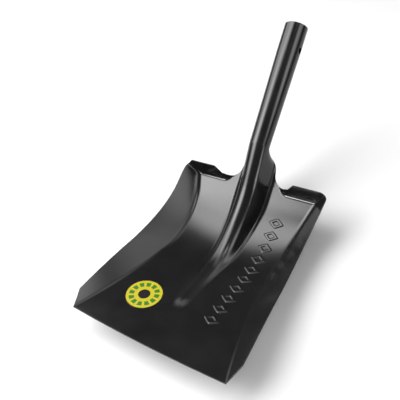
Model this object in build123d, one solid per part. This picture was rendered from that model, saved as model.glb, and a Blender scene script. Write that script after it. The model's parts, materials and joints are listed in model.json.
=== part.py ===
from build123d import *
import math
import os

os.makedirs("parts", exist_ok=True)

# Head of a pressed-steel scoop shovel: a dished pan with flared side walls, a turned-up rear
# lip in two tabs, a hollow stiffening ridge and an open neck, all pressed from one sheet, and
# a rolled tube socket for the handle, welded on behind the neck. Millimetres and degrees.
#
# The head is first laid out in the socket's frame: X across the pan, Y along the socket axis
# from the front corners to the mouth, Z square to it, with Z = 0 on the axis. At the end it
# is turned to the attitude in which it rests on the ground.

# ---- driving dimensions ----

sheet = 1.5               # thickness of the pressed sheet and of the rolled socket
socket_lift = 37.3        # rise of the socket axis when the head rests on its belly

# pan, in plan
front_width = 268.0       # cutting edge, corner to corner
front_bow = 4.0           # how far the middle of the cutting edge stands forward
corner_cut_length = 26.0  # bevelled front corners, along the socket axis
corner_cut_flare = 10.6   # and outwards
waist_width = 264.0       # over the wall tops at their narrowest
waist_y = 222.0           # where that is
shoulder_width = 267.5    # over the wall tops at the rear corners
shoulder_y = 262.0        # where the rear corners begin to turn
rear_corner_radius = 12.0

# pan, in side view
front_height = 163.5      # middle of the floor over the socket axis, between the front corners
front_pitch = 49.2        # straight front of the floor against the socket axis
floor_radius = 177.0      # curved middle of the floor
heel_drop = 29.8          # rear of the floor below the socket axis
floor_dish = 8.0          # the floor's middle below its creases, at the front
dish_fades = (110.0, 235.0)

# side walls
crease_waist = 92.4       # half width of the floor between the creases, where narrowest
crease_waist_y = 142.0
crease_rear = 115.3       # half width of the floor at the rear lip
crease_power = 1.75       # how the creases sweep in from the front corners
wall_slope_front = 0.72   # rise of the wall for each mm outwards
wall_slope_gain = 0.0025  # and how much more for each mm towards the rear
crease_radius = 9.0

# rear lip
lip_y = 263.5             # bend line of the lip
lip_slope = 1.62
lip_top_y = 278.3         # upper edge of the tabs
lip_radius = 7.0
lip_fade_x = 62.0         # inside this the bend runs out towards the neck
lip_fade = 0.045
notch_floor_y = 270.4     # bottom of the notch between tab and neck
notch_x = (57.0, 63.0)
notch_bow = (6.0, 2.5)    # how far the edge from notch to neck curves in
tab_end = 75.0            # inner end of each tab, at its top
tab_corner_radius = 3.0

# stiffening ridge
ridge_tip = 44.0
ridge_nose = 20.0         # the tip rises out of the floor over this length
foot_radius = 9.0
arcs_most = 0.96          # where the ridge is low its arcs shrink to this share of its side
crown_radius = 17.6       # also the outer radius of the socket at the neck

# neck and socket
heel_y = 290.0            # the pan's ridge becomes the neck
neck_y = 330.0            # the neck is closed to a circle and meets the socket
weld_width = 2.0
seam_gap = 1.0            # between the rolled edges along the underside
mouth_y = 541.0
mouth_radius = 19.9       # outside
mouth_length = 50.0       # straight cylinder that grips the handle
hole_setback = 41.0       # fixing hole behind the mouth
hole_diameter = 10.0

# row of plain raised lozenges on the right of the floor
mark_count = 10
mark_x = 60.0
mark_first_y = 52.0
mark_pitch = 24.0         # measured along the floor
mark_size = (25.0, 17.0)  # across the pan and along the floor
mark_stroke = 3.5
mark_height = 0.9

# round label on the left of the floor
label_diameter = 60.0
label_thickness = 0.2
label_place = (-58.7, 47.3)

# ridge, and the neck it becomes: distance along, half width at the foot, height of the crest
ridge_stations = [
    (40.0, 14.0, 4.5),
    (80.0, 18.6, 6.5),
    (112.0, 23.0, 11.5),
    (143.0, 26.6, 18.0),
    (170.0, 28.8, 24.5),
    (199.0, 31.6, 29.5),
    (232.0, 34.6, 33.4),
    (258.0, 35.0, 35.4),
    (heel_y, 34.5, 40.5),
    (neck_y, 34.0, heel_drop + crown_radius),
    (neck_y + weld_width, 34.0, heel_drop + crown_radius),
]

# ---- fineness of the lofted surfaces ----

pan_columns = 121
pan_rows = 22
lip_rows = 14
neck_columns = 61
neck_rows = 16
patch_columns = 25
patch_row_pitch = 8.0
trim = 4.0                # surfaces are made this much larger than what cuts them
join_tolerance = 0.02     # pan and neck are one sheet: how far their sections may differ


# ---- small curves ----

def smooth(t):
    """0 to 1, level at both ends."""
    t = min(max(t, 0.0), 1.0)
    return t * t * (3.0 - 2.0 * t)


def through(stations, y, column):
    """Value of one column of the stations at y, on a smooth curve through them."""
    last = len(stations) - 1
    i = 0
    while i < last - 1 and y > stations[i + 1][0]:
        i += 1

    def slope(k):
        if k in (0, last):
            return 0.0
        a, b = stations[k - 1], stations[k + 1]
        return (b[column] - a[column]) / (b[0] - a[0])

    start, end = stations[i], stations[i + 1]
    length = end[0] - start[0]
    t = min(max((y - start[0]) / length, 0.0), 1.0)
    level = start[column] + (end[column] - start[column]) * smooth(t)
    return level + length * t * (1.0 - t) * (slope(i) * (1.0 - t) - slope(i + 1) * t)


def filleted_max(a, b, turn, radius):
    """The higher of two surfaces, with a fillet where they meet at that change of slope."""
    reach = radius * turn * turn / 2.0
    gap = reach - abs(a - b)
    if gap <= 0.0:
        return max(a, b)
    return max(a, b) + gap * gap / (4.0 * reach)


# ---- the pan's upper surface, as a height over (x, y) ----

def floor_middle(y):
    pitch = math.radians(front_pitch)
    low = -heel_drop
    arc_start_z = low + floor_radius * (1.0 - math.cos(pitch))
    arc_start_y = (front_height - arc_start_z) / math.tan(pitch)
    arc_end_y = arc_start_y + floor_radius * math.sin(pitch)
    if y >= arc_end_y:
        return low
    if y <= arc_start_y:
        return arc_start_z + (arc_start_y - y) * math.tan(pitch)
    return low + floor_radius - math.sqrt(floor_radius ** 2 - (arc_end_y - y) ** 2)


def dish_depth(y):
    start, end = dish_fades
    return floor_dish * (1.0 - smooth((y - start) / (end - start)))


def crease_x(y):
    """Half width of the floor, crease to crease."""
    if y < crease_waist_y:
        spread = front_width / 2.0 - crease_waist
        reach = crease_waist_y
    else:
        spread = crease_rear - crease_waist
        reach = lip_y - crease_waist_y
    return crease_waist + spread * (abs(y - crease_waist_y) / reach) ** crease_power


def wall_slope(y):
    return wall_slope_front + wall_slope_gain * min(y, shoulder_y)


def ridge_side(width, height):
    """Crown radius, foot radius and steepest slope of a section: two arcs and a straight flank."""
    both = crown_radius + foot_radius
    no_flank = (width ** 2 + height ** 2) / (2.0 * height)
    share = min(1.0, arcs_most * no_flank / both)
    both = both * share
    slant = math.hypot(width, both - height)
    angle = math.asin(both / slant) - math.atan2(both - height, width)
    return crown_radius * share, foot_radius * share, angle


def ridge_height(x, y):
    """Height of the ridge over the floor."""
    nose = smooth((y - ridge_tip) / ridge_nose)
    width = through(ridge_stations, y, 1)
    height = through(ridge_stations, y, 2)
    side = abs(x)
    if nose == 0.0 or side >= width:
        return 0.0
    crown, foot, angle = ridge_side(width, height)
    if side <= crown * math.sin(angle):
        rise = height - crown + math.sqrt(crown ** 2 - side ** 2)
    elif side >= width - foot * math.sin(angle):
        rise = foot - math.sqrt(foot ** 2 - (width - side) ** 2)
    else:
        start = width - foot * math.sin(angle)
        rise = foot * (1.0 - math.cos(angle)) + (start - side) * math.tan(angle)
    return rise * nose


def lip_bend_y(x):
    return lip_y + lip_fade * max(lip_fade_x - abs(x), 0.0) ** 2


def pan_top(x, y):
    crease = crease_x(y)
    dish = dish_depth(y)
    floor = floor_middle(y) + dish * min(abs(x) / crease, 1.0) ** 2 + ridge_height(x, y)
    wall = floor_middle(y) + dish + wall_slope(y) * (abs(x) - crease)
    turn = wall_slope(y) - dish / crease
    pan = filleted_max(floor, wall, turn, crease_radius)
    lip = -heel_drop + lip_slope * (y - lip_bend_y(x))
    return filleted_max(pan, lip, lip_slope, lip_radius)


# ---- end of the height field ----

# ---- the neck, which rolls shut from the pan's ridge to the socket ----

def seam_half_angle(radius):
    return math.asin(seam_gap / 2.0 / radius)


def half_girth():
    """Developed width of the neck's sheet, crest to edge."""
    return crown_radius * (math.pi - seam_half_angle(crown_radius))


def along_arc(point, heading, bend, length):
    """Move along an arc. The heading and the bend turn downwards from level."""
    x, z = point
    if abs(bend) < 1e-9:
        return (x + length * math.cos(heading), z - length * math.sin(heading)), heading
    end = heading + bend * length
    x += (math.sin(end) - math.sin(heading)) / bend
    z += (math.cos(end) - math.cos(heading)) / bend
    return (x, z), end


def neck_point(run, y):
    """Point at a developed distance from the crest, on the section at y."""
    width = through(ridge_stations, y, 1)
    height = through(ridge_stations, y, 2)
    crown, foot, angle = ridge_side(width, height)
    flank = (width - (crown + foot) * math.sin(angle)) / math.cos(angle)
    closed_y = neck_y - weld_width / 2.0
    closed = min(max((y - heel_y) / (closed_y - heel_y), 0.0), 1.0) ** 3
    bends = [
        (crown * angle, 1.0 / crown),
        (flank, closed / crown),
        (math.inf, -(1.0 - closed) / foot + closed / crown),
    ]
    point, heading = (0.0, height - heel_drop), 0.0
    left = abs(run)
    for length, bend in bends:
        step = min(length, left)
        point, heading = along_arc(point, heading, bend, step)
        left -= step
        if left <= 0.0:
            break
    return (math.copysign(point[0], run), y, point[1])


def neck_inner(run, y):
    """The sheet's other face, square below neck_point in the section's plane."""
    step = 0.01
    ahead, behind = neck_point(run + step, y), neck_point(run - step, y)
    dx, dz = ahead[0] - behind[0], ahead[2] - behind[2]
    size = math.hypot(dx, dz)
    x, y, z = neck_point(run, y)
    return (x + sheet * dz / size, y, z - sheet * dx / size)


def span(start, end, count):
    return [start + (end - start) * i / (count - 1) for i in range(count)]


# ---- pieces, in the socket's frame ----

def slab(y_start, y_end):
    """Everything between two planes square to the socket axis."""
    reach = 2.0 * front_width
    return Pos(0, (y_start + y_end) / 2.0, 0) * Box(reach, y_end - y_start, reach)


def tilt(x, y):
    """How much longer the upright thickness is than the sheet's own, at (x, y)."""
    step = 0.05
    across = (pan_top(x + step, y) - pan_top(x - step, y)) / (2.0 * step)
    along = (pan_top(x, y + step) - pan_top(x, y - step)) / (2.0 * step)
    return math.sqrt(1.0 + across ** 2 + along ** 2)


def section_wire(upper, lower):
    """Closed section of a sheet between two rows of points that share their spacing."""
    marks = span(0.0, 1.0, len(upper))
    return Wire([
        Edge.make_spline(upper, parameters=marks),
        Edge.make_line(upper[-1], lower[-1]),
        Edge.make_spline(lower[::-1], parameters=marks),
        Edge.make_line(lower[0], upper[0]),
    ])


def pan_skin():
    side = max(front_width / 2.0 + corner_cut_flare, waist_width / 2.0, shoulder_width / 2.0) + trim
    xs = span(-side, side, pan_columns)
    ys = span(-front_bow - trim, lip_y - 3.0 * trim, pan_rows)
    ys += span(lip_y - 2.0 * trim, heel_y, lip_rows) + [heel_y + trim]
    sections = []
    for y in ys:
        upper = [(x, y, pan_top(x, y)) for x in xs]
        lower = [(x, y, z - sheet * tilt(x, y)) for x, y, z in upper]
        sections.append(section_wire(upper, lower))
    return Solid.make_loft(sections)


def pan_outline():
    half = front_width / 2.0
    corner = (half + corner_cut_flare, corner_cut_length)
    shoulder = (shoulder_width / 2.0, lip_top_y - rear_corner_radius)
    tab_start = (shoulder[0] - rear_corner_radius, lip_top_y)
    heel_x = neck_point(half_girth(), heel_y)[0]
    notch_end = (notch_x[0], notch_floor_y)
    hollow = ((notch_x[0] + heel_x) / 2.0 - notch_bow[0], (notch_floor_y + heel_y) / 2.0 - notch_bow[1])
    right = [
        Line((half, 0), corner),
        Spline(corner, (waist_width / 2.0, waist_y), shoulder, tangents=[(-0.07, 1), (0, 1)]),
        RadiusArc(shoulder, tab_start, rear_corner_radius),
        FilletPolyline(
            tab_start,
            (tab_end, lip_top_y),
            (notch_x[1], notch_floor_y),
            notch_end,
            radius=tab_corner_radius,
        ),
        ThreePointArc(notch_end, hollow, (heel_x, heel_y)),
    ]
    edges = [
        ThreePointArc((-half, 0), (0, -front_bow), (half, 0)),
        Line((heel_x, heel_y), (-heel_x, heel_y)),
    ]
    for curve in right:
        edges += curve.edges()
        edges += mirror(curve, about=Plane.YZ).edges()
    return make_face(Wire(edges))


def floor_layer(x_span, y_span, below, above):
    """Thin slab that follows the pan's upper surface over a small patch of it."""
    sections = []
    rows = 2 + math.ceil((y_span[1] - y_span[0]) / patch_row_pitch)
    for y in span(*y_span, rows):
        places = [(x, y, pan_top(x, y), tilt(x, y)) for x in span(*x_span, patch_columns)]
        upper = [(x, y, z + above * t) for x, y, z, t in places]
        lower = [(x, y, z - below * t) for x, y, z, t in places]
        sections.append(section_wire(upper, lower))
    return Solid.make_loft(sections)


def floor_slope(y):
    return math.atan((floor_middle(y - 0.1) - floor_middle(y + 0.1)) / 0.2)


def mark_prisms():
    """Lozenge outlines, square to the plan, foreshortened where the floor is steep."""
    prisms = []
    y = mark_first_y
    for _ in range(mark_count):
        shrink = math.cos(floor_slope(y))
        across, along = mark_size[0] / 2.0, mark_size[1] / 2.0
        inset = mark_stroke * math.hypot(across, along) / (across * along)
        outer = [(across, 0), (0, along * shrink), (-across, 0), (0, -along * shrink)]
        inner = [(px * (1.0 - inset), py * (1.0 - inset)) for px, py in outer]
        frame = make_face(Polyline(*outer, close=True)) - make_face(Polyline(*inner, close=True))
        prisms.append(extrude(Pos(mark_x, y, 0) * frame, 2.0 * front_width, both=True))
        y += mark_pitch * shrink
    return prisms, y


def marks():
    prisms, end_y = mark_prisms()
    reach = mark_size[0] / 2.0 + trim
    x_span = (mark_x - reach, mark_x + reach)
    y_span = (mark_first_y - mark_size[1], end_y)
    layer = floor_layer(x_span, y_span, sheet / 2.0, mark_height)
    return [layer & prism for prism in prisms]


def pan():
    skin = pan_skin() & extrude(pan_outline(), 2.0 * front_width, both=True)
    for mark in marks():
        skin += mark
    return skin


def neck():
    girth = half_girth()
    runs = span(-girth, girth, neck_columns)
    sections = []
    for y in span(heel_y - trim, neck_y, neck_rows):
        upper = [neck_point(run, y) for run in runs]
        lower = [neck_inner(run, y) for run in runs]
        sections.append(section_wire(upper, lower))
    return Solid.make_loft(sections) & slab(heel_y, neck_y - weld_width / 2.0)


def tube(*rings):
    """Shell of one sheet's thickness turned about the socket axis. Rings are (radius, y)."""
    outside = [(radius, y) for radius, y in rings]
    inside = [(radius - sheet, y) for radius, y in reversed(rings)]
    return revolve(make_face(Polyline(*outside, *inside, close=True)), Axis.Y)


def socket_shell():
    return tube(
        (crown_radius, neck_y + weld_width / 2.0),
        (mouth_radius, mouth_y - mouth_length),
        (mouth_radius, mouth_y),
    )


def seam_slot():
    length = mouth_y - neck_y
    return Pos(0, neck_y + length / 2.0, -mouth_radius) * Box(seam_gap, 2.0 * length, mouth_radius)


def socket():
    drill = Rot(0, 90, 0) * Cylinder(hole_diameter / 2.0, 4.0 * mouth_radius)
    return socket_shell() - seam_slot() - Pos(0, mouth_y - hole_setback, 0) * drill


def seam_weld():
    return socket_shell() & seam_slot()


def neck_weld():
    half = weld_width / 2.0
    return tube((crown_radius, neck_y - half), (crown_radius, neck_y + half))


def label(pan_solid):
    """Printed vinyl disc, cut square to the floor and laid on its curve."""
    x, y = label_place
    radius = label_diameter / 2.0
    reach = radius + trim
    layer = floor_layer((x - reach, x + reach), (y - reach, y + reach), sheet / 2.0, label_thickness)
    step = 0.1
    across = (pan_top(x + step, y) - pan_top(x - step, y)) / (2.0 * step)
    along = (pan_top(x, y + step) - pan_top(x, y - step)) / (2.0 * step)
    square = Plane(origin=(x, y, pan_top(x, y)), z_dir=(-across, -along, 1))
    disc = square * Cylinder(radius, label_diameter)
    return (layer & disc) - pan_solid


# ---- assembly, in the attitude of rest ----

pan_solid = pan()
pieces = {
    "blade": pan_solid.fuse(neck(), tol=join_tolerance),
    "neck_weld": neck_weld(),
    "socket": socket(),
    "seam_weld": seam_weld(),
    "label": label(pan_solid),
}

# The socket axis rises towards the rear. The origin is the middle of the box on the ground.
turned = {name: Rot(socket_lift, 0, 0) * piece for name, piece in pieces.items()}
box = Compound(list(turned.values())).bounding_box()
ground = Pos(-box.center().X, -box.center().Y, -box.min.Z)
for name, piece in turned.items():
    export_step(ground * piece, f"parts/{name}.step")
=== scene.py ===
import json
import math

import bmesh
import bpy
from mathutils import Matrix, Vector


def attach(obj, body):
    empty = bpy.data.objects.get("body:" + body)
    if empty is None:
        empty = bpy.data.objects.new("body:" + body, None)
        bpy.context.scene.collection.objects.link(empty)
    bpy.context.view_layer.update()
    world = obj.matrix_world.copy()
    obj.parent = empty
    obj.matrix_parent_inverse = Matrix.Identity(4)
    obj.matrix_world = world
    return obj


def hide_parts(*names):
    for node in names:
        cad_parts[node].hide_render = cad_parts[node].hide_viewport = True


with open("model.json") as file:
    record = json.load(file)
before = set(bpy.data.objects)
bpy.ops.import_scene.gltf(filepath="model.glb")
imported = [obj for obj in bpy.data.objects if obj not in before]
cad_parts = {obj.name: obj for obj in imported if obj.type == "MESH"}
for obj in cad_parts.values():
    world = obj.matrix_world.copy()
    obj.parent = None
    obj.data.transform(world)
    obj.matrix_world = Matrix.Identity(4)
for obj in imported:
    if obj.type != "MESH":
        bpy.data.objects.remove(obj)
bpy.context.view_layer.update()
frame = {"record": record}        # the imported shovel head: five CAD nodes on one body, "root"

# ---------------------------------------------------------------------------
# The blade. One sheet of mild steel, 1.5 mm thick, pressed in a single stroke: dished floor,
# flared walls, turned-up rear lip, hollow ridge and the neck that rolls shut round the socket.
# It is cut out of its strip before pressing, so its rim is square with the burr knocked off.
# ---------------------------------------------------------------------------

# Millimetres in the socket's frame: X across, Y along the socket's axis from the front corners,
# Z square to it. The handle socket's mount says where that frame stands.
mm = 0.001
sheet = 1.5
front_half = 134.0
front_bow = 4.0
bevel_end = (144.6, 26.0)         # outer end of the bevelled front corner
waist = (132.0, 222.0)
waist_slope = 0.037               # the side's lean at the waist, and where it leaves the bevel
bevel_slope = -0.07
rear_half = 133.75
rear_radius = 12.0
tab_top = 278.3
notch = (57.0, 63.0, 75.0)        # notch floor's inner and outer end, and the tab's end above it
notch_floor = 270.4
notch_bow = (6.0, 2.5)
tab_round = 3.0                   # blends the lip's edge from the notch's floor up to the tab
rim_round = 0.35
sharp_from = 1.0                  # edges turning more than this, in radians, shade sharp
side_lean = 0.9                   # the cut edge is square to the wall, so its top stands this far in

front_height = 163.5
front_pitch = math.radians(49.2)
floor_radius = 177.0
heel_drop = 29.8
floor_dish = 8.0
dish_fades = (110.0, 235.0)
crease_waist = (92.4, 142.0)
crease_rear = (115.3, 263.5)
crease_power = 1.75
crease_radius = 9.0
wall_slope_front = 0.72
wall_slope_gain = 0.0025
wall_slope_end = 262.0
lip_slope = 1.62
lip_radius = 7.0
lip_fade = (62.0, 0.045)

ridge_tip = 44.0
ridge_nose = 20.0
crown_radius = 17.6
foot_radius = 9.0
least_flank = 0.96                # where the ridge is low, its radii shrink to leave a flank
heel_y = 290.0
neck_y = 330.0
closing_power = 3                 # the neck's flanks roll in late: 1 would close them evenly
mouth_y = 541.0
mouth_length = 50.0
mouth_radius = 19.9
joint_half = 1.0                  # half the width of the weld between neck and socket
seam_gap = 1.0
# along the ridge: place, half width at the foot, height of the crest over the floor
ridge = [
    (40, 14.0, 4.5), (80, 18.6, 6.5), (112, 23.0, 11.5), (143, 26.6, 18.0), (170, 28.8, 24.5),
    (199, 31.6, 29.5), (232, 34.6, 33.4), (258, 35.0, 35.4), (heel_y, 34.5, 40.5),
    (neck_y, 34.0, heel_drop + crown_radius), (neck_y + 2, 34.0, heel_drop + crown_radius),
]


def smooth(t):
    t = min(max(t, 0.0), 1.0)
    return t * t * (3.0 - 2.0 * t)


def blended_max(a, b, turn, radius):
    """The higher of two slopes, with a fillet of that radius where they meet."""
    reach = radius * turn * turn / 2.0
    gap = max(reach - abs(a - b), 0.0)
    return max(a, b) + gap * gap / (4.0 * reach)


def floor_middle(y):
    arc_start = floor_radius * (1.0 - math.cos(front_pitch)) - heel_drop
    arc_y = (front_height - arc_start) / math.tan(front_pitch)
    level_y = arc_y + floor_radius * math.sin(front_pitch)
    if y <= arc_y:
        return arc_start + (arc_y - y) * math.tan(front_pitch)
    back = max(level_y - y, 0.0)
    return floor_radius - heel_drop - math.sqrt(floor_radius ** 2 - back ** 2)


def along_floor(y):
    """Length along the middle of the floor for each millimetre of y."""
    return math.hypot(1.0, (floor_middle(y + 0.5) - floor_middle(y - 0.5)))


def crease_at(y):
    half, waist_y = crease_waist
    front = y < waist_y
    spread = front_half - half if front else crease_rear[0] - half
    reach = waist_y if front else crease_rear[1] - waist_y
    return half + spread * (abs(y - waist_y) / reach) ** crease_power


def wall_slope(y):
    return wall_slope_front + wall_slope_gain * min(y, wall_slope_end)


def ridge_size(y):
    """Half width and height of the ridge at y, on a smooth curve through its stations."""
    last = len(ridge) - 1
    i = max(k for k in range(last) if k == 0 or y > ridge[k][0])

    def slope(k, column):
        if k in (0, last):
            return 0.0
        before, after = ridge[k - 1], ridge[k + 1]
        return (after[column] - before[column]) / (after[0] - before[0])

    start, end = ridge[i], ridge[i + 1]
    length = end[0] - start[0]
    t = min(max((y - start[0]) / length, 0.0), 1.0)
    sizes = []
    for c in (1, 2):
        bulge = length * t * (1.0 - t) * (slope(i, c) * (1.0 - t) - slope(i + 1, c) * t)
        sizes.append(start[c] + (end[c] - start[c]) * smooth(t) + bulge)
    return sizes


def ridge_side(y):
    """Width, height, crown radius, foot radius and steepest slope of the ridge at y."""
    width, height = ridge_size(y)
    both = crown_radius + foot_radius
    share = min(1.0, least_flank * (width ** 2 + height ** 2) / (2.0 * height * both))
    both *= share
    slope = math.asin(both / math.hypot(width, both - height)) - math.atan2(both - height, width)
    return width, height, crown_radius * share, foot_radius * share, slope


def ridge_over_floor(x, y):
    width, height, crown, foot, slope = ridge_side(y)
    nose = smooth((y - ridge_tip) / ridge_nose)
    side = abs(x)
    if nose == 0.0 or side >= width:
        return 0.0
    flank_end = width - foot * math.sin(slope)
    if side <= crown * math.sin(slope):
        rise = height - crown + math.sqrt(crown ** 2 - side ** 2)
    elif side >= flank_end:
        rise = foot - math.sqrt(foot ** 2 - (width - side) ** 2)
    else:
        rise = foot * (1.0 - math.cos(slope)) + (flank_end - side) * math.tan(slope)
    return rise * nose


def pan_height(x, y):
    crease = crease_at(y)
    dish = floor_dish * (1.0 - smooth((y - dish_fades[0]) / (dish_fades[1] - dish_fades[0])))
    middle = floor_middle(y)
    floor = middle + dish * min(abs(x) / crease, 1.0) ** 2 + ridge_over_floor(x, y)
    wall = middle + dish + wall_slope(y) * (abs(x) - crease)
    pan = blended_max(floor, wall, wall_slope(y) - dish / crease, crease_radius)
    lip_y = crease_rear[1] + lip_fade[1] * max(lip_fade[0] - abs(x), 0.0) ** 2
    return blended_max(pan, lip_slope * (y - lip_y) - heel_drop, lip_slope, lip_radius)


half_girth = crown_radius * (math.pi - math.asin(seam_gap / 2.0 / crown_radius))


def neck_point(run, y):
    """Where a point lies that is so far from the crest along the sheet, on the section at y."""
    width, height, crown, foot, slope = ridge_side(y)
    flank = (width - (crown + foot) * math.sin(slope)) / math.cos(slope)
    share = min(max((y - heel_y) / (neck_y - joint_half - heel_y), 0.0), 1.0)
    closed = share ** closing_power
    bends = [
        (crown * slope, 1.0 / crown),
        (flank, closed / crown),
        (math.inf, closed / crown - (1.0 - closed) / foot),
    ]
    x, z, heading, left = 0.0, height - heel_drop, 0.0, abs(run)
    for length, bend in bends:
        step = min(length, left)
        end = heading + bend * step
        if abs(bend) < 1e-9:
            x += step * math.cos(heading)
            z -= step * math.sin(heading)
        else:
            x += (math.sin(end) - math.sin(heading)) / bend
            z += (math.cos(end) - math.cos(heading)) / bend
        heading = end
        left -= step
    return math.copysign(x, run), z


# How the sheet is ruled before pressing. Rows run across it from the cutting edge to the neck,
# columns lengthways: the strip that becomes the neck, and a wing on each side of it whose
# columns follow the crease.
strip_cells = 40
guide_cells = (15, 14, 10, 8)
guide_width = 7.0
rim_cell = 0.9                    # and one more column this far inside the outline
bunch_from, bunch_over = 235.0, 35.0      # where the strip's columns start to bunch, and how fast
tab_rows = 0.9                    # past this share of the rows they rise to follow the tabs
merge = 0.01                      # points nearer than this are one
front_rows = 8
row_pitch = 1.5
arc_rows = 12
neck_rows = 20
wing_cells = sum(guide_cells) + 1
heel_half = neck_point(half_girth, heel_y)[0]

side_end = (rear_half - side_lean - rear_radius + rear_radius * math.cos(math.pi / 4),
            tab_top - rear_radius + rear_radius * math.sin(math.pi / 4))


def front_edge(x):
    return -front_bow * (1.0 - (x / front_half) ** 2)


def side_edge(y):
    """Half width of the upper face at y."""
    if y <= bevel_end[1]:
        return front_half + (bevel_end[0] - side_lean - front_half) * max(y, 0.0) / bevel_end[1]
    corner_y = tab_top - rear_radius
    if y >= corner_y:
        reach = math.sqrt(rear_radius ** 2 - (y - corner_y) ** 2)
        return rear_half - side_lean - rear_radius + reach
    before = y < waist[1]
    start, end = (bevel_end, waist) if before else (waist, (rear_half, corner_y))
    lean = (bevel_slope, waist_slope) if before else (waist_slope, 0.0)
    length = end[1] - start[1]
    t = (y - start[1]) / length
    bulge = length * t * (1.0 - t) * (lean[0] * (1.0 - t) - lean[1] * t)
    return start[0] + (end[0] - start[0]) * smooth(t) + bulge - side_lean


def rear_edge(x):
    """Upper edge of the rear lip: notch floor, slope up to the tab, tab, rounded corner."""
    corner_x = rear_half - side_lean - rear_radius
    if x > corner_x:
        return tab_top - rear_radius + math.sqrt(rear_radius ** 2 - (x - corner_x) ** 2)
    rise = (tab_top - notch_floor) / (notch[2] - notch[1])
    up = blended_max(notch_floor, notch_floor + rise * (x - notch[1]), rise, tab_round)
    return -blended_max(-up, -tab_top, rise, tab_round)


def column_x(k, y, side):
    """Place of the k-th column of a wing, with the outline's half width at that row."""
    if k == wing_cells:
        return side
    crease = min(crease_at(y), side)
    spread = guide_width * min(1.0, (side - crease) / (3.0 * guide_width))
    outer = side - min(rim_cell, (side - crease) / 3.0)
    guides = [notch[0], notch[2], crease - spread, min(crease + spread, outer), outer]
    for cells, start, end in zip(guide_cells, guides, guides[1:]):
        if k <= cells:
            return start + (end - start) * k / cells
        k -= cells
    return outer


def row_shares():
    """Rows of the pan, as shares of the way from the cutting edge to the notch."""
    first = bevel_end[1] / side_end[1] * notch_floor
    places = [first * i / front_rows for i in range(front_rows)]
    y = first
    while y < notch_floor - 0.5:
        places.append(y)
        y += row_pitch / along_floor(y)
    return [place / notch_floor for place in places] + [1.0]


def arc_through(start, middle, end, t):
    """Point at a share t of the circular arc through three points."""
    (ax, ay), (bx, by), (cx, cy) = start, middle, end
    d = 2.0 * (ax * (by - cy) + bx * (cy - ay) + cx * (ay - by))
    aa, bb, cc = ax * ax + ay * ay, bx * bx + by * by, cx * cx + cy * cy
    ux = (aa * (by - cy) + bb * (cy - ay) + cc * (ay - by)) / d
    uy = (aa * (cx - bx) + bb * (ax - cx) + cc * (bx - ax)) / d
    radius = math.hypot(ax - ux, ay - uy)
    a0, a1 = math.atan2(ay - uy, ax - ux), math.atan2(cy - uy, cx - ux)
    turn = (a1 - a0 + math.pi) % (2.0 * math.pi) - math.pi
    return ux + radius * math.cos(a0 + turn * t), uy + radius * math.sin(a0 + turn * t)


def strip_share(s, bunching):
    """Columns of the strip are even on the pan and bunch up on the flanks towards the neck."""
    bunched = neck_point(s * half_girth, heel_y)[0] / heel_half
    return s + (bunched - s) * bunching


shares = row_shares()
pan_rows = len(shares) - 1


def plan_point(k, j):
    """Where column k, counted from the middle, crosses row j of the pan, seen from above."""
    v = shares[j]
    inner_y = front_edge(notch[0]) * (1.0 - v) + notch_floor * v
    if k <= strip_cells:
        x = notch[0] * strip_share(k / strip_cells, smooth((inner_y - bunch_from) / bunch_over))
        return x, front_edge(x) * (1.0 - v) + notch_floor * v
    side_y = side_end[1] * v
    side_x = side_edge(side_y)
    x = column_x(k - strip_cells, side_y, side_x)
    share = (x - notch[0]) / (side_x - notch[0])
    y = inner_y * (1.0 - share) + side_y * share
    front_x = notch[0] + (front_half - notch[0]) * share
    rear_x = notch[0] + (side_end[0] - notch[0]) * share
    front_push = front_edge(front_x) - front_edge(notch[0]) * (1.0 - share)
    rear_push = rear_edge(rear_x) - notch_floor * (1.0 - share) - side_end[1] * share
    return x, y + front_push * (1.0 - v) + rear_push * smooth((v - tab_rows) / (1.0 - tab_rows))


def pressed_point(i, j):
    """Point of the finished sheet for column i and row j of the ruled blank."""
    k = i - strip_cells - wing_cells
    if j <= pan_rows:
        x, y = plan_point(abs(k), j)
        return math.copysign(x, k), y, pan_height(math.copysign(x, k), y)
    s = k / strip_cells
    j -= pan_rows
    if j <= arc_rows:
        start, end = (notch[0], notch_floor), (heel_half, heel_y)
        hollow = ((start[0] + end[0]) / 2.0 - notch_bow[0], (start[1] + end[1]) / 2.0 - notch_bow[1])
        half, y = arc_through(start, hollow, end, j / arc_rows)
        x = half * strip_share(abs(s), 1.0) * (1.0 if k >= 0 else -1.0)
        return x, y, pan_height(x, y)
    y = heel_y + (neck_y - joint_half - heel_y) * (j - arc_rows) / neck_rows
    x, z = neck_point(s * half_girth, y)
    return x, y, z


socket_mount = {m["name"]: m for m in frame["record"]["mounts"]}["handle_socket"]
socket_axis = Vector(socket_mount["axis"])
across = Vector((1.0, 0.0, 0.0))
turn = Matrix((across, socket_axis, across.cross(socket_axis))).transposed().to_4x4()
mount_place = Matrix.Translation(Vector(socket_mount["pos_m"]))
to_frame = (mount_place @ turn @ Matrix.Scale(mm, 4)
            @ Matrix.Translation((0.0, mouth_length / 2.0 - mouth_y, 0.0)))


def finished(name, bm, material):
    """A smooth-shaded piece in the row frame, from a mesh in the socket's millimetres."""
    bm.transform(to_frame)
    for face in bm.faces:
        face.smooth = True
    for edge in bm.edges:
        edge.smooth = edge.calc_face_angle(0.0) < sharp_from
    mesh = bpy.data.meshes.new(name)
    bm.to_mesh(mesh)
    bm.free()
    mesh.materials.append(material)
    piece = bpy.data.objects.new(name, mesh)
    bpy.context.scene.collection.objects.link(piece)
    piece.modifiers.new("flat faces stay flat", "WEIGHTED_NORMAL").keep_sharp = True
    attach(piece, "root")
    return piece


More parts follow.
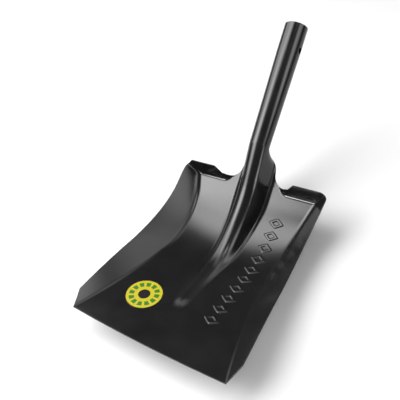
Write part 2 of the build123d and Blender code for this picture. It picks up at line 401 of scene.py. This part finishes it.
def thicken(bm, rounding, keep=lambda edge: False):
    """Give a face its sheet's thickness behind it, and round the rim except where kept square."""
    bmesh.ops.solidify(bm, geom=bm.faces[:], thickness=sheet)
    rim = [e for e in bm.edges if e.calc_face_angle(0.0) > 1.0 and not keep(e)]
    bmesh.ops.bevel(bm, geom=rim, offset=rounding, offset_type="OFFSET", segments=2,
                    profile=0.5, affect="EDGES", material=-1)
    bmesh.ops.recalc_face_normals(bm, faces=bm.faces[:])


def linear(colour):
    """sRGB hex to linear RGBA."""
    parts = [int(colour[i:i + 2], 16) / 255.0 for i in (1, 3, 5)]
    return [c / 12.92 if c <= 0.04045 else ((c + 0.055) / 1.055) ** 2.4 for c in parts] + [1.0]


def add(tree, kind, inputs=None, **settings):
    """Add a node, set it up, and give its inputs values or links from other nodes' outputs."""
    node = tree.nodes.new("ShaderNode" + kind)
    for name, value in settings.items():
        setattr(node, name, value)
    for name, value in (inputs or {}).items():
        if isinstance(value, bpy.types.NodeSocket):
            tree.links.new(value, node.inputs[name])
        else:
            node.inputs[name].default_value = value
    return node


def per_metre(millimetres):
    """Texture scale for a pattern whose grain is this wide, on coordinates in metres."""
    return 1000.0 / millimetres


def new_material(name):
    material = bpy.data.materials.new(name)
    material.use_nodes = True
    material.node_tree.nodes.clear()
    return material, material.node_tree


# Enamel, in millimetres: how wide the grain of each unevenness is, and how high it stands.
pressed_wave = (45.0, 0.025)
orange_peel = (2.2, 0.012)
dust_nibs = (9.0, 0.06)
nib_share = 0.045                 # a nib's radius beside the nibs' spacing


def black_stoving_enamel(name, peel_share=1.0):
    """Black stoving enamel, dipped and baked on bare steel. It is glossy and nearly black, so the
    eye sees reflections, a little soft from orange peel about 2 mm across, over the slow
    unevenness of the pressed steel, with a few dust nibs baked in."""
    material, tree = new_material(name)
    place = add(tree, "TexCoord").outputs["Object"]
    pools = add(tree, "TexNoise", {"Vector": place, "Scale": per_metre(pressed_wave[0]),
                                   "Detail": 2.0})
    peel = add(tree, "TexNoise", {"Vector": place, "Scale": per_metre(orange_peel[0]),
                                  "Detail": 1.0})
    nibs = add(tree, "TexVoronoi", {"Vector": place, "Scale": per_metre(dust_nibs[0])})
    nib = add(tree, "MapRange", {"Value": nibs.outputs["Distance"], "From Min": 0.0,
                                 "From Max": nib_share, "To Min": 1.0, "To Max": 0.0})
    shade = add(tree, "MapRange", {"Value": pools.outputs["Fac"], "From Min": 0.35,
                                   "From Max": 0.65, "To Min": 0.0, "To Max": 1.0})
    colour = add(tree, "Mix", {"Factor": shade.outputs["Result"], "A": linear("#0f0f10"),
                               "B": linear("#131314")}, data_type="RGBA")
    rough = add(tree, "MapRange", {"Value": pools.outputs["Fac"], "From Min": 0.3,
                                   "From Max": 0.7, "To Min": 0.15, "To Max": 0.2})
    slow = add(tree, "Bump", {"Height": pools.outputs["Fac"], "Strength": 1.0,
                              "Distance": mm * pressed_wave[1]})
    skin = add(tree, "Bump", {"Height": peel.outputs["Fac"], "Strength": 1.0,
                              "Distance": mm * orange_peel[1] * peel_share,
                              "Normal": slow.outputs["Normal"]})
    specks = add(tree, "Bump", {"Height": nib.outputs["Result"], "Strength": 1.0,
                                "Distance": mm * dust_nibs[1], "Normal": skin.outputs["Normal"]})
    paint = add(tree, "BsdfPrincipled", {
        "Base Color": colour.outputs["Result"],
        "Roughness": rough.outputs["Result"],
        "IOR": 1.5,
        "Normal": specks.outputs["Normal"],
    })
    add(tree, "OutputMaterial", {"Surface": paint.outputs["BSDF"]})
    return material


blade_enamel = black_stoving_enamel("black_enamel_on_pressed_steel")

columns = 2 * (strip_cells + wing_cells)
rows = pan_rows + arc_rows + neck_rows
blank = bmesh.new()
bmesh.ops.create_grid(blank, x_segments=columns, y_segments=rows, size=0.5)
ruled = {v: (round((v.co.x + 0.5) * columns), round((v.co.y + 0.5) * rows)) for v in blank.verts}
offcut = [face for face in blank.faces
          if min(ruled[v][1] for v in face.verts) >= pan_rows
          and max(abs(ruled[v][0] - columns // 2) for v in face.verts) > strip_cells]
bmesh.ops.delete(blank, geom=offcut, context="FACES")
for v in blank.verts:
    v.co = pressed_point(*ruled[v])
bmesh.ops.remove_doubles(blank, verts=blank.verts[:], dist=merge)
neck_end = neck_y - joint_half - merge
thicken(blank, rim_round, keep=lambda edge: all(v.co.y > neck_end for v in edge.verts))
blade = finished("blade_sheet", blank, blade_enamel)
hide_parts("blade")

# ---------------------------------------------------------------------------
# The raised marks. Ten plain lozenge frames pressed up out of the floor, in the same stroke as
# the sheet, in a row along its right side. Their flanks run out level into the floor.
# ---------------------------------------------------------------------------

mark_count = 10
mark_x = 60.0
mark_start = 52.0
mark_pitch = 24.0
mark_half = (12.5, 8.5)
mark_stroke = 3.5
mark_height = 0.9
mark_soft = 0.8                   # the press leaves every edge of a mark this soft, each way
mark_round = 1.12                 # power of the outline: 1 is a sharp lozenge, 2 an ellipse
mark_clear = 0.01                 # and its face clears the floor's by this much
mark_merge = 0.005
mark_around, mark_across = 96, 12


def floor_frame(x, y):
    """Point of the floor, the direction across it and the direction up it, and its normal."""
    step = 0.1
    rise_x = (pan_height(x + step, y) - pan_height(x - step, y)) / (2.0 * step)
    rise_y = (pan_height(x, y + step) - pan_height(x, y - step)) / (2.0 * step)
    normal = Vector((-rise_x, -rise_y, 1.0)).normalized()
    sideways = Vector((1.0, 0.0, rise_x)).normalized()
    return Vector((x, y, pan_height(x, y))), sideways, normal.cross(sideways), normal


def mark_point(place, angle, across):
    """Point of a mark's face, at an angle round it and a depth inside its outline."""
    depth = mark_half[0] * mark_half[1] / math.hypot(*mark_half)
    x, y = math.cos(angle), math.sin(angle)
    reach = (abs(x) ** mark_round + abs(y) ** mark_round) ** (-1.0 / mark_round)
    shrink = reach * (1.0 - across / depth)
    spot, _, _, normal = floor_frame(mark_x + mark_half[0] * x * shrink,
                                     place + mark_half[1] * y * shrink / along_floor(place))
    rise = smooth((across + mark_soft) / (2.0 * mark_soft))
    rise -= smooth((across - mark_stroke + mark_soft) / (2.0 * mark_soft))
    return spot + normal * (mark_height * rise + mark_clear)


marks = bmesh.new()
place = mark_start
for _ in range(mark_count):
    made = bmesh.ops.create_grid(marks, x_segments=mark_around, y_segments=mark_across, size=0.5)
    for v in made["verts"]:
        inwards = -mark_soft + (mark_stroke + 2.0 * mark_soft) * (v.co.y + 0.5)
        v.co = mark_point(place, 2.0 * math.pi * v.co.x, inwards)
    place += mark_pitch / along_floor(place)
bmesh.ops.remove_doubles(marks, verts=marks.verts[:], dist=mark_merge)
bmesh.ops.recalc_face_normals(marks, faces=marks.faces[:])
if sum(face.normal.z for face in marks.faces) < 0.0:
    bmesh.ops.reverse_faces(marks, faces=marks.faces[:])
bmesh.ops.solidify(marks, geom=marks.faces[:], thickness=sheet / 2.0)
raised_marks = finished("raised_marks", marks, blade_enamel)

# ---------------------------------------------------------------------------
# The socket. A strip of the same steel rolled into a tube round the handle's taper, straight
# for its last 50 mm, with a 10 mm hole drilled through both walls for the handle's rivet.
# ---------------------------------------------------------------------------

hole_y = 500.0
hole_cells = 5                    # the hole's radius, in cells of one millimetre
even_cells = 9                    # the ruling goes back to square over the cells up to this one
quarter = 24                      # cells in a quarter of the girth
front_cells, mouth_cells = 30, 20
seam_half = math.asin(seam_gap / 2.0 / mouth_radius)
straight_y = mouth_y - mouth_length
socket_start = neck_y + joint_half


def socket_radius(y):
    share = min((y - socket_start) / (straight_y - socket_start), 1.0)
    return crown_radius + (mouth_radius - crown_radius) * share


def round_the_hole(a, b):
    """Bend square ruling, in cells from the hole's middle, until its inner square is a circle."""
    ring = max(abs(a), abs(b))
    if not hole_cells <= ring < even_cells:
        return a, b
    share = (even_cells - ring) / (even_cells - hole_cells)
    pull = 1.0 + (ring / math.hypot(a, b) - 1.0) * share
    return a * pull, b * pull


def past_even(cells, total, start, end):
    """Beyond the even ruling, spread what is left of the cells over what is left of the way."""
    return start + (end - start) * (cells - even_cells) / (total - even_cells)


def rolled_point(i, j):
    """Point of the tube for cell i round it from the seam and row j from the neck."""
    side = 1.0 if i >= 2 * quarter else -1.0
    a, b = abs(i - 2 * quarter) - quarter, j - front_cells
    bent_a, bent_b = round_the_hole(a, b)
    even_angle = even_cells / mouth_radius
    if abs(a) <= even_cells:
        angle = math.pi / 2.0 + bent_a / mouth_radius
    elif a > 0:
        angle = math.pi / 2.0 + past_even(a, quarter, even_angle, math.pi / 2.0 - seam_half)
    else:
        angle = math.pi / 2.0 - past_even(-a, quarter, even_angle, math.pi / 2.0)
    if abs(b) <= even_cells:
        y = hole_y + bent_b
    elif b > 0:
        y = hole_y + past_even(b, mouth_cells, even_cells, mouth_y - hole_y)
    else:
        y = hole_y - past_even(-b, front_cells, even_cells, hole_y - socket_start)
    radius = socket_radius(y)
    return side * radius * math.sin(angle), y, radius * math.cos(angle)


rolled = bmesh.new()
around, lengthways = 4 * quarter, front_cells + mouth_cells
bmesh.ops.create_grid(rolled, x_segments=around, y_segments=lengthways, size=0.5)
ruled = {v: (round((v.co.x + 0.5) * around), round((v.co.y + 0.5) * lengthways))
         for v in rolled.verts}
drilled = []
for v, (i, j) in ruled.items():
    v.co = rolled_point(i, j)
    if max(abs(abs(i - 2 * quarter) - quarter), abs(j - front_cells)) < hole_cells:
        drilled.append(v)
bmesh.ops.delete(rolled, geom=drilled, context="VERTS")
socket_end = socket_start + merge
thicken(rolled, rim_round, keep=lambda edge: all(v.co.y < socket_end for v in edge.verts))
socket = finished("socket_tube", rolled, black_stoving_enamel("black_enamel_on_rolled_tube"))
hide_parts("socket")

# ---------------------------------------------------------------------------
# The welds. One short butt weld closes the ring where the neck meets the socket, ground flush
# so that nothing shows of it under the enamel; a narrow bead fills the socket's rolled seam
# along its underside, left as it was laid.
# ---------------------------------------------------------------------------

weld_enamel = black_stoving_enamel("black_enamel_on_weld", peel_share=2.0)
bead_half = 1.6
bead_proud = 0.3
bead_ripple = 0.12
ripple_pitch = 2.4
bead_start, bead_end = socket_start + 1.0, mouth_y - 3.0
bead_sunk = 0.05                  # its edges lie this far under the tube's face
bead_depth = 0.9 * sheet
bead_cells, bead_rows = 10, 340
bead_merge = 0.001
ring_rows = 3


def bead_point(across_share, y):
    """Section of the seam's bead: a low cap over the gap, rippled along its length."""
    ends = min(y - bead_start, bead_end - y) / bead_half
    fade = math.sqrt(max(1.0 - (1.0 - min(ends, 1.0)) ** 2, 0.0))
    x = bead_half * across_share * fade
    ripple = bead_ripple * abs(math.sin(math.pi * y / ripple_pitch))
    cap = (bead_proud + ripple) * (1.0 - across_share ** 2) * fade
    radius = socket_radius(y) + cap - bead_sunk
    return x, y, -math.sqrt(radius ** 2 - x ** 2)


bead = bmesh.new()
bmesh.ops.create_grid(bead, x_segments=bead_cells, y_segments=bead_rows, size=0.5)
for v in bead.verts:
    v.co = bead_point(-2.0 * v.co.x, bead_start + (bead_end - bead_start) * (v.co.y + 0.5))
bmesh.ops.remove_doubles(bead, verts=bead.verts[:], dist=bead_merge)
bmesh.ops.solidify(bead, geom=bead.faces[:], thickness=bead_depth)
bmesh.ops.recalc_face_normals(bead, faces=bead.faces[:])
seam_bead = finished("seam_bead", bead, weld_enamel)
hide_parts("seam_weld")

ring = bmesh.new()
bmesh.ops.create_grid(ring, x_segments=around, y_segments=ring_rows, size=0.5)
for v in ring.verts:
    angle = 2.0 * math.pi * v.co.x
    y = neck_y + 2.0 * joint_half * v.co.y
    v.co = (crown_radius * math.sin(angle), y, crown_radius * math.cos(angle))
bmesh.ops.remove_doubles(ring, verts=ring.verts[:], dist=merge)
bmesh.ops.solidify(ring, geom=ring.faces[:], thickness=sheet)
bmesh.ops.recalc_face_normals(ring, faces=ring.faces[:])
neck_ring = finished("neck_ring", ring, weld_enamel)
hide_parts("neck_weld")

# ---------------------------------------------------------------------------
# The label. A printed vinyl disc, 60 mm across and 0.2 mm thick, stuck on the left of the floor
# and following its curve. Yellow ground, a thin dark border and a plain geometric print.
# ---------------------------------------------------------------------------

label_radius = 30.0
label_place = (-58.7, 47.3)
film = 0.2
film_sunk = 0.1                   # its back is kept just under the enamel's face
label_around, label_rings = 96, 22
border_from = 28.4                # where the print's dark border starts
bar_count = 12
bar_ends = (16.0, 24.0)
bar_sides = (0.18, 0.82)          # as shares of a bar's pitch
middle_disc = 9.5
ink_soft, bar_soft, bar_side_soft = 0.12, 0.15, 0.02
ink_grain = 1.2
film_wave = (14.0, 0.08)          # how wide and how high the film's waviness is
settling = 4                      # steps in which a point of the film settles on the floor


def yellow_printed_film(name):
    """Screen-printed vinyl, semi-gloss, with the faint waviness of film pressed on by hand. The
    print is measured in millimetres from the disc's middle: yellow ground, thin dark border, a
    green ring broken into twelve short bars, and a plain dark disc."""
    material, tree = new_material(name)
    place = add(tree, "UVMap", uv_map="print").outputs["UV"]

    def maths(operation, a, b):
        return add(tree, "Math", {0: a, 1: b}, operation=operation).outputs["Value"]

    def band(value, start, end, soft):
        """1 between start and end, fading over the printed edge's softness."""
        rise = add(tree, "MapRange", {"Value": value, "From Min": start - soft,
                                      "From Max": start + soft}).outputs["Result"]
        fall = add(tree, "MapRange", {"Value": value, "From Min": end - soft,
                                      "From Max": end + soft}).outputs["Result"]
        return maths("SUBTRACT", rise, fall)

    def print_over(under, ink, where):
        return add(tree, "Mix", {"Factor": where, "A": under, "B": linear(ink)},
                   data_type="RGBA").outputs["Result"]

    split = add(tree, "SeparateXYZ", {"Vector": place})
    length = add(tree, "VectorMath", {"Vector": place}, operation="LENGTH").outputs["Value"]
    radius = maths("DIVIDE", length, mm)
    turned = maths("ARCTAN2", split.outputs["Y"], split.outputs["X"])
    turns = maths("MULTIPLY", turned, bar_count / (2.0 * math.pi))
    bar = band(maths("FRACT", maths("ADD", turns, bar_count), 0.0), *bar_sides, bar_side_soft)
    grain = add(tree, "TexNoise", {"Vector": place, "Scale": per_metre(ink_grain), "Detail": 2.0})
    ground = add(tree, "Mix", {"Factor": grain.outputs["Fac"], "A": linear("#a2961a"),
                               "B": linear("#b1a426")}, data_type="RGBA").outputs["Result"]
    edge = print_over(ground, "#0d0a07", band(radius, border_from, label_radius + 10.0, ink_soft))
    bars = print_over(edge, "#2f671d", maths("MULTIPLY", bar, band(radius, *bar_ends, bar_soft)))
    disc = print_over(bars, "#0d0b09", band(radius, -middle_disc, middle_disc, ink_soft))
    wave = add(tree, "TexNoise", {"Vector": place, "Scale": per_metre(film_wave[0]), "Detail": 2.0})
    bump = add(tree, "Bump", {"Height": wave.outputs["Fac"], "Strength": 1.0,
                              "Distance": mm * film_wave[1]})
    film_face = add(tree, "BsdfPrincipled", {"Base Color": disc, "Roughness": 0.32, "IOR": 1.5,
                                             "Normal": bump.outputs["Normal"]})
    add(tree, "OutputMaterial", {"Surface": film_face.outputs["BSDF"]})
    return material


disc = bmesh.new()
bmesh.ops.create_grid(disc, x_segments=label_around, y_segments=label_rings, size=0.5)
print_map = disc.loops.layers.uv.new("print")
middle, sideways, upwards, normal = floor_frame(*label_place)
for face in disc.faces:
    for corner in face.loops:
        angle, reach = 2.0 * math.pi * corner.vert.co.x, label_radius * (0.5 - corner.vert.co.y)
        corner[print_map].uv = (mm * reach * math.cos(angle), mm * reach * math.sin(angle))
for v in disc.verts:
    angle, reach = 2.0 * math.pi * v.co.x, label_radius * (0.5 - v.co.y)
    spot = middle + sideways * reach * math.cos(angle) + upwards * reach * math.sin(angle)
    for _ in range(settling):
        spot += normal * (pan_height(spot.x, spot.y) - spot.z) * normal.z
    v.co = spot + normal * film
bmesh.ops.remove_doubles(disc, verts=disc.verts[:], dist=merge)
bmesh.ops.recalc_face_normals(disc, faces=disc.faces[:])
if sum(face.normal.dot(normal) for face in disc.faces) < 0.0:
    bmesh.ops.reverse_faces(disc, faces=disc.faces[:])
bmesh.ops.solidify(disc, geom=disc.faces[:], thickness=film + film_sunk)
label = finished("label_film", disc, yellow_printed_film("yellow_printed_vinyl"))
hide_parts("label")

# ---------------------------------------------------------------------------
# The stage. A pale matt floor, large soft panels round the left and overhead, and smaller ones to
# the right. The front is dark but for a low panel at its left, which lines the walls and creases,
# so that the near half of the pan's floor stays black.
# ---------------------------------------------------------------------------

board_radius = 12.0
board_gap = 0.0005                # the floor stops this far short of the head
board_mottle = 400.0

floor_mesh = bmesh.new()
bmesh.ops.create_circle(floor_mesh, cap_ends=True, cap_tris=False, segments=96,
                        radius=board_radius)
floor_data = bpy.data.meshes.new("floor")
floor_mesh.to_mesh(floor_data)
floor_mesh.free()
floor = bpy.data.objects.new("floor", floor_data)
floor.location.z = -board_gap
bpy.context.scene.collection.objects.link(floor)

# Matt pale board, very slightly uneven in tone.
board, tree = new_material("pale_matt_board")
mottle = add(tree, "TexNoise", {"Vector": add(tree, "TexCoord").outputs["Object"],
                                "Scale": per_metre(board_mottle), "Detail": 3.0})
tone = add(tree, "Mix", {"Factor": mottle.outputs["Fac"], "A": linear("#cdcdcd"),
                         "B": linear("#d2d2d2")}, data_type="RGBA")
board_face = add(tree, "BsdfDiffuse", {"Color": tone.outputs["Result"]})
add(tree, "OutputMaterial", {"Surface": board_face.outputs["BSDF"]})
floor_data.materials.append(board)

# name, direction round from the rear and up from the floor in degrees, how wide and how high it
# looks in degrees, and the radiance of its middle
panels = [
    ("key", -127.0, 44.0, 62.0, 50.0, 10.5),
    ("key_edge", -80.0, 40.0, 44.0, 60.0, 4.0),
    ("overhead", -90.0, 70.0, 50.0, 40.0, 7.0),
    ("front_left", -156.0, 5.0, 32.0, 30.0, 24.0),
    ("right", 86.0, 33.0, 30.0, 44.0, 4.4),
    ("right_low", 108.0, 5.0, 36.0, 22.0, 9.0),
    ("rear_right", 42.0, 45.0, 44.0, 36.0, 2.0),
    ("rear_right_low", 65.0, 28.0, 25.0, 30.0, 3.4),
    ("overhead_right", 72.0, 67.0, 24.0, 24.0, 5.5),
    ("overhead_rear", -10.0, 68.0, 48.0, 38.0, 1.6),
]
panel_distance = 2.4
panel_fade = 0.85                 # a panel dims to nothing over this share of its half width
aim = Vector((0.0, 0.0, 0.08))
camera_place = (0.36107, -0.47434, 0.63306)
camera_right = Vector((0.82908, 0.52442, -0.19392))
camera_up = Vector((-0.24920, 0.65706, 0.71146))


def soft_edged(tree):
    """A panel brightest in its middle, like cloth with a lamp behind it."""
    place = add(tree, "NewGeometry").outputs["Parametric"]
    centred = add(tree, "VectorMath", {0: place, 1: (0.5, 0.5, 0.0)}, operation="SUBTRACT")
    apart = add(tree, "VectorMath", {0: centred.outputs["Vector"]}, operation="ABSOLUTE")
    sides = add(tree, "SeparateXYZ", {"Vector": apart.outputs["Vector"]})
    inside = [add(tree, "MapRange", {"Value": sides.outputs[axis], "From Min": 0.5,
                                     "From Max": 0.5 - 0.5 * panel_fade},
                  interpolation_type="SMOOTHSTEP").outputs["Result"] for axis in "XY"]
    glow = add(tree, "Math", {0: inside[0], 1: inside[1]}, operation="MULTIPLY")
    cloth = add(tree, "Emission", {"Strength": glow.outputs["Value"]})
    add(tree, "OutputLight", {"Surface": cloth.outputs["Emission"]})


for name, round_from_rear, up, wide, high, bright in panels:
    heading, rise = math.radians(round_from_rear), math.radians(up)
    away = Vector((math.sin(heading) * math.cos(rise), math.cos(heading) * math.cos(rise),
                   math.sin(rise)))
    panel = bpy.data.lights.new(name, "AREA")
    panel.shape = "RECTANGLE"
    panel.size = 2.0 * panel_distance * math.tan(math.radians(wide) / 2.0)
    panel.size_y = 2.0 * panel_distance * math.tan(math.radians(high) / 2.0)
    panel.energy = math.pi * panel.size * panel.size_y * bright
    panel.use_nodes = True
    panel.node_tree.nodes.clear()
    soft_edged(panel.node_tree)
    lamp = bpy.data.objects.new(name, panel)
    lamp.location = aim + away * panel_distance
    lamp.rotation_euler = away.to_track_quat("Z", "Y").to_euler()
    lamp.visible_camera = False
    bpy.context.scene.collection.objects.link(lamp)

world = bpy.data.worlds.new("studio")
world.use_nodes = True
world.node_tree.nodes.clear()
dim = add(world.node_tree, "Background", {"Color": linear("#ffffff"), "Strength": 0.12})
add(world.node_tree, "OutputWorld", {"Surface": dim.outputs["Background"]})
bpy.context.scene.world = world
bpy.context.scene.view_settings.view_transform = "Standard"

lens = bpy.data.cameras.new("camera")
lens.lens = 45.0
lens.sensor_width = 36.0
camera = bpy.data.objects.new("camera", lens)
camera.matrix_world = Matrix.Translation(camera_place) @ Matrix(
    (camera_right, camera_up, camera_right.cross(camera_up))).transposed().to_4x4()
bpy.context.scene.collection.objects.link(camera)
bpy.context.scene.camera = camera
